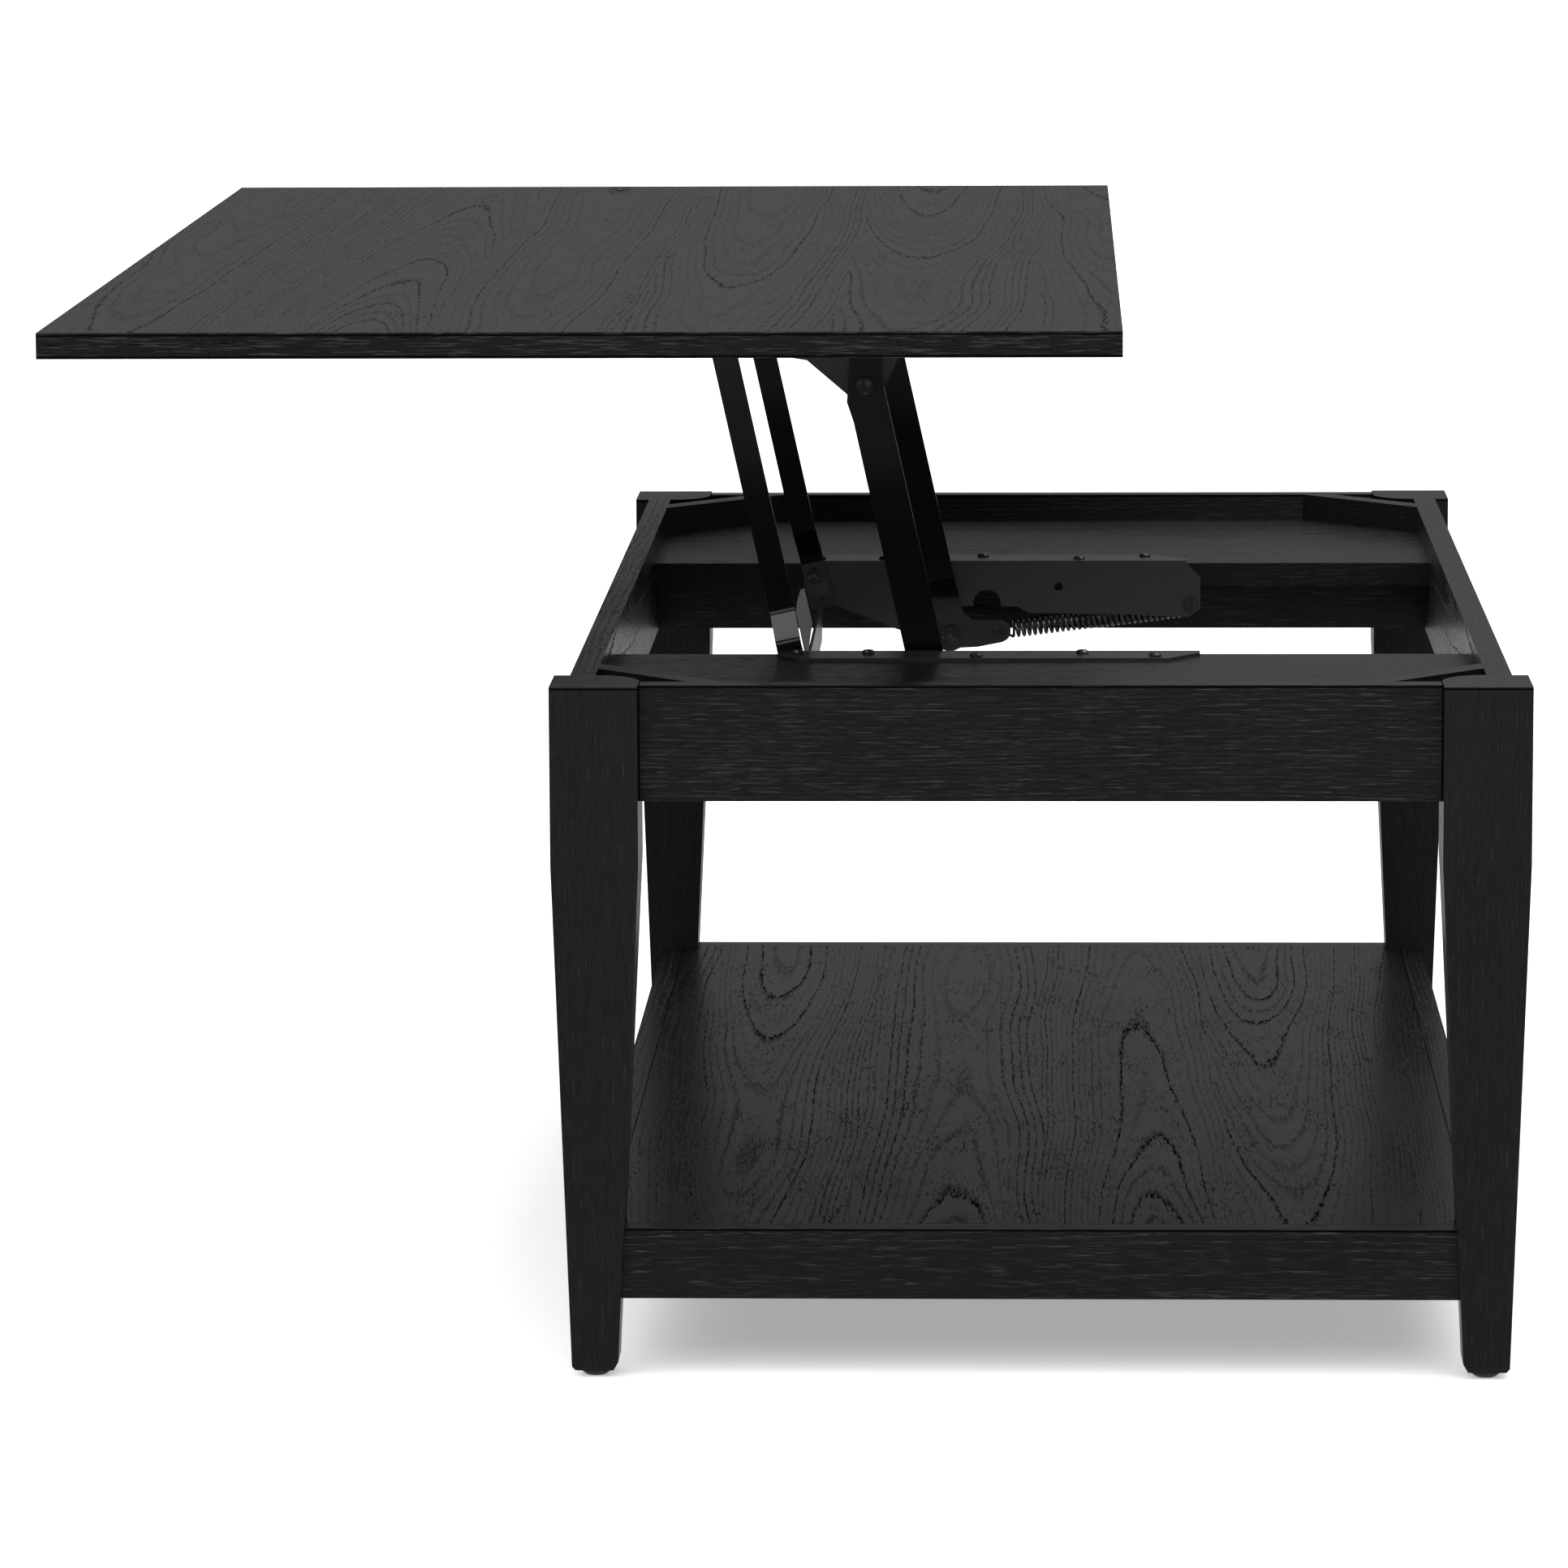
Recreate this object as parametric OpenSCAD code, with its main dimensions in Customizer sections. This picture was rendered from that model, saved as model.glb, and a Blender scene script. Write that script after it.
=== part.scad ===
// Lift top coffee table, drawn with its top raised and swung out over the user's side.
// X runs from the user's side (front, -X) to the back, Y along the table, Z up from the floor.
// The origin is the centre of the four foot glides, on the floor.

/* [Lid] */
// Width of the lid, front to back
lid_w = 662; // [650:1:680]
// Length of the lid
lid_l = 1180; // [1160:1:1200]
// Thickness of the lid
lid_t = 16; // [14:1:20]

/* [Base] */
// Width of the base over the legs, front to back
base_w = 610; // [600:1:620]
// Length of the base over the legs
base_l = 1056; // [1040:1:1070]
// Height of a leg post, without its glide
leg_h = 437; // [430:1:445]
// Side of the square leg post
leg_s = 55; // [50:1:58]
// Height at which the taper of a leg starts
taper_z = 325; // [310:1:340]
// Taper of the two outer faces of a leg
taper_out = 10; // [6:1:12]
// Taper of the two inner faces of a leg
taper_in = 16; // [12:1:18]
// Height of a foot glide
glide_h = 4.5; // [3:0.5:6]

/* [Rails and panels] */
// Height of the top frame's aprons
apron_h = 73; // [68:1:75]
// Thickness of aprons, braces, boards and rails
board_t = 16; // [15:1:18]
// Inset of an apron's face from the leg's face
apron_inset = 10; // [8:1:12]
// Depth of the mechanism boards below the top of the frame
board_drop = 19; // [18:1:22]
// Half of the opening between the two mechanism boards
well_half = 239; // [235:1:245]
// Height of the lower rails
rail_h = 45; // [40:1:50]
// Height of the underside of the lower rails above the foot of the post
rail_z = 46.5; // [40:0.5:55]
// Thickness of the lower shelf
shelf_t = 12; // [10:1:15]

/* [Lift mechanism] */
// Length of the arms, pivot to pivot
arm_len = 231.7; // [228:0.1:235]
// Lean of the raised arms towards the user, degrees
arm_lean = 12.36; // [12:0.01:13]
// Width of the narrow arms
narrow_w = 16.6; // [15:0.1:18]
// Width of the wide arms
wide_w = 25; // [22:0.5:26]
// Thickness of the arms
arm_t = 3; // [2.5:0.1:3]
// Radius of the pivot pins
pin_r = 4; // [3.5:0.1:4.2]

/* [Hidden] */
$fn = 48;

// Heights above the floor
z_top = glide_h + leg_h;
z_apron = z_top - apron_h;
z_board = z_top - board_drop;
z_rail = glide_h + rail_z;
z_shelf = z_rail + rail_h;

// Plan of the base
half_w = base_w / 2;
half_l = base_l / 2;
apron_in = apron_inset + board_t;
corner_round = 28;
brace_reach = 82;
rail_inset_side = 16.5;
rail_inset_end = 13;
joint_line = 0.6;

// Pivots, in X and Z, of the raised lift
narrow_low = [-162.7, z_top - 27.4];
wide_low = [-65.7, z_top - 69.7];
arm_vec = arm_len * [-sin(arm_lean), cos(arm_lean)];
narrow_up = narrow_low + arm_vec;
wide_up = wide_low + arm_vec;
spring_pin = wide_low + [35.9, 2];
spring_end = [107.6, z_top - 48.3];

// Raised lid
z_lid = z_top + 211;
lid_x = -280.6;

// Layers of the mechanism, measured inwards from the edge of a mechanism board
web_t = 2;
low_d = web_t + 0.3;
jog = 15;
up_d = low_d + jog;
bracket_d = up_d + arm_t + 0.5;
spring_d = -8.5;
spring_r = 6.8;
run = 0.05;
open_run = 0.25;
gap = 0.3;

black = [0.12, 0.12, 0.12];
steel = [0.2, 0.2, 0.21];
rubber = [0.06, 0.06, 0.06];

// Insets of a leg's outer and inner face at a height above the foot of the post
function inset_out(z) = taper_out * (1 - min(z, taper_z) / taper_z);
function inset_in(z) = leg_s - taper_in * (1 - min(z, taper_z) / taper_z);

// ---------- placing helpers ----------

// Draws its children in the corner named by two signs; they are made for the front right corner
module corner(back, left) {
    if (back && left) mirror([1, 0, 0]) mirror([0, 1, 0]) children();
    else if (back) mirror([1, 0, 0]) children();
    else if (left) mirror([0, 1, 0]) children();
    else children();
}

module four_corners() {
    for (back = [false, true], left = [false, true]) corner(back, left) children();
}

// Right side as made, left side mirrored
module on_left(left) {
    if (left) mirror([0, 1, 0]) children();
    else children();
}

module both_sides() {
    for (left = [false, true]) on_left(left) children();
}

// Extrudes an outline drawn in X and Z over depths d0 to d1 from the right board's edge
module plate(d0, d1) {
    translate([0, d1 - well_half, 0])
        rotate([90, 0, 0])
            linear_extrude(d1 - d0) children();
}

// A round bar along Y at the point p of X and Z
module bar(p, r, d0, d1, sides = $fn) {
    plate(d0, d1) translate(p) circle(r = r, $fn = sides);
}

// Local frame of an arm: Z along the arm from its lower pivot, X across it
module along_arm(p) {
    translate([p[0], -well_half, p[1]]) rotate([0, -arm_lean, 0]) children();
}

// ---------- wooden frame ----------

module leg_profile() {
    foot_chamfer_out = 2;
    foot_chamfer_in = 3;
    foot_rise = 6;
    polygon([
        [0, leg_h], [0, taper_z],
        [inset_out(foot_rise / 2), foot_rise / 2], [taper_out + foot_chamfer_out, 0],
        [inset_in(0) - foot_chamfer_in, 0], [inset_in(foot_rise), foot_rise],
        [leg_s, taper_z], [leg_s, leg_h]
    ]);
}

// Post with tapered faces; its inner corner is rounded beside the brace
module leg() {
    color(black)
        translate([-half_w, -half_l, glide_h])
            difference() {
                intersection() {
                    translate([0, leg_s, 0]) rotate([90, 0, 0]) linear_extrude(leg_s) leg_profile();
                    rotate([90, 0, 90]) linear_extrude(leg_s) leg_profile();
                }
                translate([0, 0, z_apron - glide_h])
                    linear_extrude(apron_h + 1)
                        difference() {
                            translate([leg_s - corner_round, leg_s - corner_round])
                                square(corner_round + 1);
                            translate([leg_s - corner_round, leg_s - corner_round])
                                circle(r = corner_round, $fn = 96);
                        }
            }
}

module end_apron() {
    color(black)
        translate([-half_w + leg_s, -half_l + apron_inset, z_apron])
            cube([base_w - 2 * leg_s, board_t, apron_h]);
}

module front_apron() {
    color(black)
        translate([-half_w + apron_inset, -half_l + leg_s, z_apron])
            cube([board_t, base_l - 2 * leg_s, apron_h]);
}

module back_apron() {
    mirror([1, 0, 0]) front_apron();
}

hanger_z = z_apron + 26;
hanger_r = 3.9;
brace_skew = board_t * sqrt(2);

// Plate set across the corner behind a leg
module brace() {
    color(black)
        translate([-half_w + apron_in, -half_l + apron_in, 0])
            difference() {
                translate([0, 0, z_apron])
                    linear_extrude(apron_h)
                        polygon([
                            [0, brace_reach], [0, brace_reach - brace_skew],
                            [brace_reach - brace_skew, 0], [brace_reach, 0]
                        ]);
                hanger_axis() cylinder(r = hanger_r + 0.4, h = 90);
            }
}

// Axis through the middle of a brace, pointing from the leg to the table's middle
module hanger_axis() {
    translate([0, 0, hanger_z]) rotate([0, 0, 45]) rotate([0, 90, 0]) children();
}

leg_face_d = corner_round + (leg_s - apron_in - corner_round) * sqrt(2);
brace_face_d = brace_reach / sqrt(2);

module hanger_bolts() {
    color(steel)
        four_corners()
            translate([-half_w + apron_in, -half_l + apron_in, 0])
                hanger_axis()
                    translate([0, 0, leg_face_d])
                        cylinder(r = hanger_r, h = brace_face_d + 16 - leg_face_d);
}

// Washer and hexagon nut that draw the leg against the frame
module hanger_nuts() {
    color(steel)
        four_corners()
            translate([-half_w + apron_in, -half_l + apron_in, 0])
                hanger_axis()
                    translate([0, 0, brace_face_d])
                        difference() {
                            union() {
                                cylinder(r = 10, h = 1.6);
                                translate([0, 0, 1.6]) cylinder(r = 7.5, h = 6.5, $fn = 6);
                            }
                            translate([0, 0, -1]) cylinder(r = hanger_r, h = 12);
                        }
}

pin_head_r = 6.5;
pin_head_t = 3;

// Board beside the well, with a blind pocket in its edge for the head of the narrow arm's pin
module mechanism_board() {
    x0 = -half_w + apron_in;
    y0 = -half_l + apron_in;
    color(black)
        difference() {
            translate([0, 0, z_board - board_t])
                linear_extrude(board_t)
                    polygon([
                        [x0 + brace_reach, y0], [-x0 - brace_reach, y0], [-x0, y0 + brace_reach],
                        [-x0, -well_half], [x0, -well_half], [x0, y0 + brace_reach]
                    ]);
            bar(narrow_low, pin_head_r + 0.6, -pin_head_t - 0.6, 1);
        }
}

cross_rail_back = 51;

module cross_rail() {
    x0 = -half_w + apron_in;
    color(black)
        translate([x0, -well_half - cross_rail_back - board_t, z_apron])
            cube([-2 * x0, board_t, z_board - board_t - z_apron]);
}

// Rail between two legs; its ends follow their taper
module rail_outline(half) {
    low = half - inset_in(rail_z);
    high = half - inset_in(rail_z + rail_h);
    polygon([[-low, z_rail], [low, z_rail], [high, z_rail + rail_h], [-high, z_rail + rail_h]]);
}

module lower_end_rail() {
    color(black)
        translate([0, -half_l + rail_inset_end + board_t, 0])
            rotate([90, 0, 0])
                linear_extrude(board_t) rail_outline(half_w);
}

module lower_front_rail() {
    color(black)
        translate([-half_w + rail_inset_side, 0, 0])
            rotate([90, 0, 90])
                linear_extrude(board_t) rail_outline(half_l);
}

module lower_back_rail() {
    mirror([1, 0, 0]) lower_front_rail();
}

shelf_x = half_w - rail_inset_side - board_t - joint_line;
shelf_y = half_l - rail_inset_end - board_t - joint_line;

// Panel flush with the rails, notched round the four legs
module shelf_panel() {
    notch_x = shelf_x - (half_w - inset_in(rail_z + rail_h)) + joint_line;
    notch_y = shelf_y - (half_l - inset_in(rail_z + rail_h)) + joint_line;
    color(black)
        translate([0, 0, z_shelf - shelf_t])
            linear_extrude(shelf_t)
                difference() {
                    square([2 * shelf_x, 2 * shelf_y], center = true);
                    for (sx = [-1, 1], sy = [-1, 1])
                        translate([sx * shelf_x, sy * shelf_y])
                            square([2 * notch_x, 2 * notch_y], center = true);
                }
}

cleat_s = 15;

module shelf_cleat_front() {
    cleat_l = base_l - 2 * leg_s - 20;
    color(black)
        translate([-half_w + rail_inset_side + board_t, -cleat_l / 2, z_shelf - shelf_t - cleat_s])
            cube([cleat_s, cleat_l, cleat_s]);
}

module shelf_cleat_back() {
    mirror([1, 0, 0]) shelf_cleat_front();
}

// Turned nylon glide under each leg
module foot_glides() {
    foot_mid = (taper_out + inset_in(0)) / 2;
    color(rubber)
        four_corners()
            translate([-half_w + foot_mid, -half_l + foot_mid, 0])
                rotate_extrude()
                    polygon([[0, 0], [6.5, 0], [9, 2], [9, glide_h], [0, glide_h]]);
}

// ---------- lift mechanism on the frame ----------

web_x0 = -171;
web_x1 = 114.7;
flange_w = 34;

module web_outline() {
    notch_z = z_top - 50;
    difference() {
        union() {
            polygon([
                [web_x0, z_board], [web_x0, z_top - 36], [-151, z_top - 48],
                [-106.6, z_top - 65.7], [-72, z_top - 77], [-57, notch_z], [-18, notch_z],
                [-8, z_top - 55], [60, z_top - 56], [web_x1 - 8, z_top - 58],
                [web_x1, z_top - 52], [web_x1, z_top - 29], [web_x1 - 10, z_board]
            ]);
            translate(wide_low) circle(r = 10.5);
        }
        translate([-39, notch_z + 2]) circle(r = 10);
        translate([12.6, z_top - 35.8]) circle(r = 3);
        translate(narrow_low) circle(r = pin_r);
        translate(wide_low) circle(r = pin_r);
        translate(spring_end) circle(r = pin_tail_r);
    }
}

flange_screws = [[-159.5, 10], [-113, 10], [-42, 24], [27.5, 10], [75, 24]];
flange_hole_r = 2.3;

// Folded plate: a flange screwed on the board and a web hanging at the board's edge
module base_plate() {
    color(steel)
        union() {
            plate(0, web_t) web_outline();
            difference() {
                translate([0, -well_half, z_board])
                    linear_extrude(web_t)
                        polygon([
                            [web_x0, web_t], [web_x1 - 10, web_t], [web_x1 - 10, -8],
                            [84, -flange_w], [web_x0 + 12, -flange_w], [web_x0, -22]
                        ]);
                for (s = flange_screws)
                    translate([s[0], -well_half - s[1], z_board - 1])
                        cylinder(r = flange_hole_r, h = web_t + 2);
            }
        }
}

// Pan head wood screw, standing on the plate it holds
module pan_screw(l) {
    rotate_extrude()
        polygon([[0, -l], [1.6, -l + 3], [1.6, 0], [4.2, 0], [4.2, 1], [3, 2.2], [0, 2.6]]);
}

module base_plate_screws() {
    color(steel)
        both_sides()
            for (s = flange_screws)
                translate([s[0], -well_half - s[1], z_board + web_t])
                    pan_screw(web_t);
}

// Shouldered pin along Y: flat head at d0, shaft, hexagon nut ending at d1
module pivot_pin(p, d0, d1, head_r, head_t, nut_r, nut_t, nut_sides = 6) {
    color(steel)
        union() {
            bar(p, head_r, d0, d0 + head_t);
            bar(p, pin_r, d0, d1);
            bar(p, nut_r, d1 - nut_t, d1, nut_sides);
        }
}

tab_t = 2.5;

module narrow_lower_pins() {
    nut_t = 5;
    both_sides()
        pivot_pin(narrow_low, -pin_head_t, low_d + arm_t + tab_t + gap + nut_t,
            pin_head_r, pin_head_t, 5.8, nut_t);
}

module wide_lower_pins() {
    rivet_t = 4;
    both_sides()
        pivot_pin(wide_low, -pin_head_t, low_d + arm_t + gap + rivet_t,
            pin_head_r, pin_head_t, 6, rivet_t, $fn);
}

// Rivet that holds the fixed end of the spring behind the web
module spring_anchors() {
    color(steel)
        both_sides()
            union() {
                bar(spring_end, 4, spring_d - 4, spring_d - 2.5);
                bar(spring_end, pin_tail_r, spring_d - 4, web_t + 2.5);
                bar(spring_end, 5, web_t, web_t + 2.5);
            }
}

// Pin on the web that the raised wide arm leans on
module open_stops() {
    stop_r = 4;
    reach = wide_w / 2 + stop_r + 0.1;
    p = wide_low + 22 * [-sin(arm_lean), cos(arm_lean)] - reach * [cos(arm_lean), sin(arm_lean)];
    color(steel)
        both_sides()
            bar(p, stop_r, web_t, low_d + arm_t + 1.5);
}

hook = 9;
wire_r = 1.1;
pin_tail_r = 2.5;
end_turns = 12;

// Local frame of the spring: Z runs along it from the lever's pin to the anchor
module along_spring() {
    v = spring_end - spring_pin;
    translate([spring_pin[0], spring_d - well_half, spring_pin[1]])
        rotate([0, 90 - atan2(v[1], v[0]), 0]) children();
}

spring_len = norm(spring_end - spring_pin);

// Envelope of the tension spring's coil, with the hook that hangs on the anchor
module spring() {
    coil_z = hook + end_turns;
    color(steel)
        along_spring()
            union() {
                translate([0, 0, coil_z]) cylinder(r = spring_r, h = spring_len - hook - coil_z);
                translate([0, 0, coil_z]) cylinder(r = wire_r, h = spring_len - pin_tail_r - coil_z);
            }
}

// The spring's last turns and its hook on the lever's pin, which draw away from the coil as it stretches
module spring_hook() {
    color(steel)
        along_spring()
            union() {
                translate([0, 0, hook]) cylinder(r = spring_r, h = end_turns);
                translate([0, 0, pin_tail_r]) cylinder(r = wire_r, h = hook);
            }
}

// ---------- arms ----------

// Share of the jog reached at a share s of its height: a bend, a straight slope and a bend back
bend = 0.2;
function ease(s) =
    s < bend ? s * s / (2 * bend * (1 - bend))
    : s > 1 - bend ? 1 - ease(1 - s)
    : (s - bend / 2) / (1 - bend);

bend_steps = [for (i = [0 : 4]) i / 4 * bend];
jog_steps = concat(bend_steps, [for (i = [4 : -1 : 0]) 1 - bend_steps[i]]);
reach = arm_len + 60;
skew = 1;

// Side view of an arm: low plate beside the web, jog, high plate beside the bracket
module jog_profile(u0, u1, d0, t) {
    outer = [for (s = jog_steps) [d0 + t + jog * ease(s), u0 + (u1 - u0) * s]];
    inner = [for (i = [len(jog_steps) - 1 : -1 : 0])
        [d0 + jog * ease(jog_steps[i]), u0 + skew + (u1 - u0) * jog_steps[i]]];
    polygon(concat([[d0, -60], [d0 + t, -60]], outer,
        [[d0 + t + jog, reach], [d0 + jog, reach]], inner));
}

// Cuts an outline, drawn across and along an arm, from a sheet whose side view is the first child
module cut_sheet() {
    intersection() {
        translate([0, 60, 0]) rotate([90, 0, 0]) linear_extrude(120) children(1);
        translate([-60, 0, 0]) rotate([90, 0, 90]) linear_extrude(120) children(0);
    }
}

narrow_jog = [14, 36.5];
wide_jog = [17, 44];

module narrow_arm() {
    color(steel)
        along_arm(narrow_low)
            cut_sheet() {
                jog_profile(narrow_jog[0], narrow_jog[1], low_d, arm_t);
                difference() {
                    union() {
                        translate([-narrow_w / 2, 0]) square([narrow_w, arm_len]);
                        circle(r = narrow_w / 2);
                        translate([0, arm_len]) circle(r = narrow_w / 2);
                    }
                    circle(r = pin_r + run);
                    translate([0, arm_len]) circle(r = pin_r + open_run);
                }
            }
}

head_up = 20;

module wide_arm_outline() {
    w = wide_w / 2;
    difference() {
        union() {
            polygon([
                [-w, 0], [w, 0], [w - 0.5, arm_len + 4.5], [w + 2, arm_len + 15],
                [w, arm_len + head_up], [-w + 7, arm_len + head_up], [-w + 1, arm_len],
                [-w - 1.5, arm_len - 8], [-w, arm_len - 22]
            ]);
            circle(r = w);
        }
        circle(r = pin_r + run);
        translate([0, arm_len]) circle(r = pin_r + run);
    }
}

lever_r = 8;

// Lever at the arm's lower end that the spring pulls
module lever_outline() {
    difference() {
        translate(wide_low)
            union() {
                polygon([
                    [0, -10.5], [20, -9.5], [38, -6], [38, 10], [17, 10.2], [8, 16], [0, 20]
                ]);
                translate(spring_pin - wide_low) circle(r = lever_r);
            }
        translate(wide_low) circle(r = pin_r + run);
        translate(spring_pin) circle(r = pin_tail_r);
    }
}

module wide_arm() {
    color(steel)
        union() {
            along_arm(wide_low)
                cut_sheet() {
                    jog_profile(wide_jog[0], wide_jog[1], low_d, arm_t);
                    wide_arm_outline();
                }
            plate(low_d, low_d + arm_t) lever_outline();
        }
}

// Rivet through the lever; the spring's moving hook hangs on its tail
module spring_pins() {
    color(steel)
        both_sides()
            union() {
                bar(spring_pin, 3.8, low_d + arm_t, low_d + arm_t + 2);
                bar(spring_pin, pin_tail_r, spring_d - 4, low_d + arm_t + 2);
                bar(spring_pin, 4, spring_d - 4, spring_d - 2.5);
            }
}

bar_x = -157;
bar_z = z_top - 43;
bar_h = 32;

// Angle section between the two narrow arms, in X and Z
module bar_outline() {
    lean = 1;
    lip = 8;
    polygon([
        [bar_x, bar_z], [bar_x - lean, bar_z - bar_h], [bar_x - lean - lip, bar_z - bar_h],
        [bar_x - lean - lip, bar_z - bar_h + 2], [bar_x - lean - 1.7, bar_z - bar_h + 2],
        [bar_x - 2, bar_z]
    ]);
}

// Tab under the arm's foot that carries the bar's end
module bar_tab() {
    v = narrow_w / 2;
    d = low_d + arm_t;
    foot = 24;
    along_arm(narrow_low)
        cut_sheet() {
            polygon([[d, -foot - 2], [d + tab_t, -foot - 2], [d + tab_t, 12], [d, 12]]);
            difference() {
                polygon([[-v, -foot], [v, -foot], [v, 10], [-v, 10]]);
                circle(r = pin_r + run);
            }
        }
}

// Ear at the right end only, which slopes up past the arm's edge
module bar_ear() {
    v = narrow_w / 2;
    d = low_d + arm_t;
    along_arm(narrow_low)
        cut_sheet() {
            polygon([[d, -8], [d + tab_t, -8], [d + tab_t + jog, 48], [d + jog, 48]]);
            polygon([
                [6.5, -8], [8, -3], [17.8, 24], [17.3, 46.8], [14.5, 46.3], [10.8, 39.4],
                [v + 0.4, 33], [v + 0.4, 8], [6.5, 2]
            ]);
        }
}

module crossbar() {
    bar_half = well_half - low_d - arm_t;
    color(steel)
        union() {
            translate([0, bar_half, 0]) rotate([90, 0, 0]) linear_extrude(2 * bar_half) bar_outline();
            both_sides() bar_tab();
            bar_ear();
        }
}

// ---------- raised lid ----------

module lid_panel() {
    color([0.2, 0.2, 0.2])
        translate([lid_x - lid_w / 2, -lid_l / 2, z_lid])
            cube([lid_w, lid_l, lid_t]);
}

bracket_x = [-228, -78];
bracket_flange = 32;

module bracket_outline() {
    difference() {
        union() {
            polygon([
                [bracket_x[0], z_lid], [bracket_x[0], narrow_up[1] - 8],
                [narrow_up[0] - 4, narrow_up[1] - 13], [-163, z_lid - 36.5],
                [-153.5, z_lid - 38], [-125, wide_up[1] - 8], [-106, wide_up[1] - 8],
                [-92, wide_up[1] + 20], [bracket_x[1], z_lid - 12], [bracket_x[1], z_lid]
            ]);
            translate(wide_up) circle(r = 12);
        }
        translate(narrow_up) circle(r = pin_r);
        translate(wide_up) circle(r = pin_r);
    }
}

bracket_screws = [-208, -170, -132, -94];

// Folded plate: a flange screwed under the lid, a web with the upper pivots and a stiffening lip
module upper_bracket() {
    inner = bracket_d + web_t;
    color(steel)
        union() {
            plate(bracket_d, inner) bracket_outline();
            plate(bracket_d, inner + 6)
                polygon([
                    [-163, z_lid - 36.5], [-153.5, z_lid - 38], [-130, z_lid - 51.6],
                    [-129, z_lid - 49.9], [-153, z_lid - 36], [-162.7, z_lid - 34.5]
                ]);
            difference() {
                translate([bracket_x[0], bracket_d - well_half, z_lid - web_t])
                    cube([bracket_x[1] - bracket_x[0], bracket_flange, web_t]);
                for (x = bracket_screws)
                    translate([x, bracket_d + 20 - well_half, z_lid - web_t - 1])
                        cylinder(r = flange_hole_r, h = web_t + 2);
            }
        }
}

module upper_bracket_screws() {
    color(steel)
        both_sides()
            for (x = bracket_screws)
                translate([x, bracket_d + 20 - well_half, z_lid - web_t])
                    rotate([180, 0, 0]) pan_screw(web_t);
}

module narrow_upper_pins() {
    both_sides()
        pivot_pin(narrow_up, up_d - gap - 3, bracket_d + web_t + 3, 5.5, 3, 5.5, 3, $fn);
}

module wide_upper_pins() {
    both_sides()
        pivot_pin(wide_up, up_d - gap - 3.5, bracket_d + web_t + 3, 5.7, 3.5, 6.5, 3, $fn);
}

bumper_h = 1.5;

// Soft dots under the lid that land on the leg tops when it closes
module lid_bumpers() {
    color(rubber)
        translate([lid_x, 0, z_lid - bumper_h])
            four_corners()
                translate([-half_w + 22, -half_l + 22, 0])
                    rotate_extrude()
                        polygon([[0, 0], [4.5, 0], [5.5, 0.8], [5.5, bumper_h], [0, bumper_h]]);
}

leg();  // leg_front_right
corner(false, true) leg();  // leg_front_left
corner(true, false) leg();  // leg_back_right
corner(true, true) leg();  // leg_back_left
end_apron();  // end_apron_right
on_left(true) end_apron();  // end_apron_left
front_apron();
back_apron();
brace();  // brace_front_right
corner(false, true) brace();  // brace_front_left
corner(true, false) brace();  // brace_back_right
corner(true, true) brace();  // brace_back_left
mechanism_board();  // mechanism_board_right
on_left(true) mechanism_board();  // mechanism_board_left
cross_rail();  // cross_rail_right
on_left(true) cross_rail();  // cross_rail_left
lower_end_rail();  // lower_end_rail_right
on_left(true) lower_end_rail();  // lower_end_rail_left
lower_front_rail();
lower_back_rail();
shelf_panel();
shelf_cleat_front();
shelf_cleat_back();
foot_glides();
hanger_bolts();
hanger_nuts();
base_plate();  // base_plate_right
on_left(true) base_plate();  // base_plate_left
base_plate_screws();
narrow_lower_pins();
wide_lower_pins();
spring_anchors();
open_stops();
spring();  // spring_right
on_left(true) spring();  // spring_left
spring_hook();  // spring_hook_right
on_left(true) spring_hook();  // spring_hook_left
wide_arm();  // wide_arm_right
on_left(true) wide_arm();  // wide_arm_left
spring_pins();
narrow_arm();  // narrow_arm_right
on_left(true) narrow_arm();  // narrow_arm_left
crossbar();
lid_panel();
upper_bracket();  // upper_bracket_right
on_left(true) upper_bracket();  // upper_bracket_left
upper_bracket_screws();
narrow_upper_pins();
wide_upper_pins();
lid_bumpers();
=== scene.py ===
"""Lift top coffee table in black stained oak, raised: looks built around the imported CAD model."""

import math

import bmesh
import bpy
from mathutils import Matrix, Vector


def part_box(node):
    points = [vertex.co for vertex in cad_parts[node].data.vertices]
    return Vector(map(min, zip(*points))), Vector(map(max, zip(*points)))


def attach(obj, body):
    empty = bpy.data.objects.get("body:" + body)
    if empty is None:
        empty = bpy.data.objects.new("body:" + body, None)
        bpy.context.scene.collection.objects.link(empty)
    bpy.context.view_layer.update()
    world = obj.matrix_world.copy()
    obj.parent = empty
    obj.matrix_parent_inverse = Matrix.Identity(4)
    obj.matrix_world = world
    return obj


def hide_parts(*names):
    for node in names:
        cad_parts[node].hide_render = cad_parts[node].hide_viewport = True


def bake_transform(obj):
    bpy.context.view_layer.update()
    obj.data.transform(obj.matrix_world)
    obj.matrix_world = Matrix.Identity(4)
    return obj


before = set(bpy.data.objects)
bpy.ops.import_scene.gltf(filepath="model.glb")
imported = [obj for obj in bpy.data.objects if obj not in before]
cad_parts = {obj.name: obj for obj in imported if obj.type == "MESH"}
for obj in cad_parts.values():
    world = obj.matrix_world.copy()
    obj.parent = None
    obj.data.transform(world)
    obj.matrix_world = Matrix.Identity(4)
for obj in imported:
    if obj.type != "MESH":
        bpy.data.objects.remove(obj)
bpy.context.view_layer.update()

scene = bpy.context.scene
MM = 0.001
X, Y, Z = 0, 1, 2


def middle(node):
    """Middle of a CAD node's box, in the row frame: metres."""
    low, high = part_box(node)
    return (low + high) / 2


# ---------- camera ----------

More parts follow.
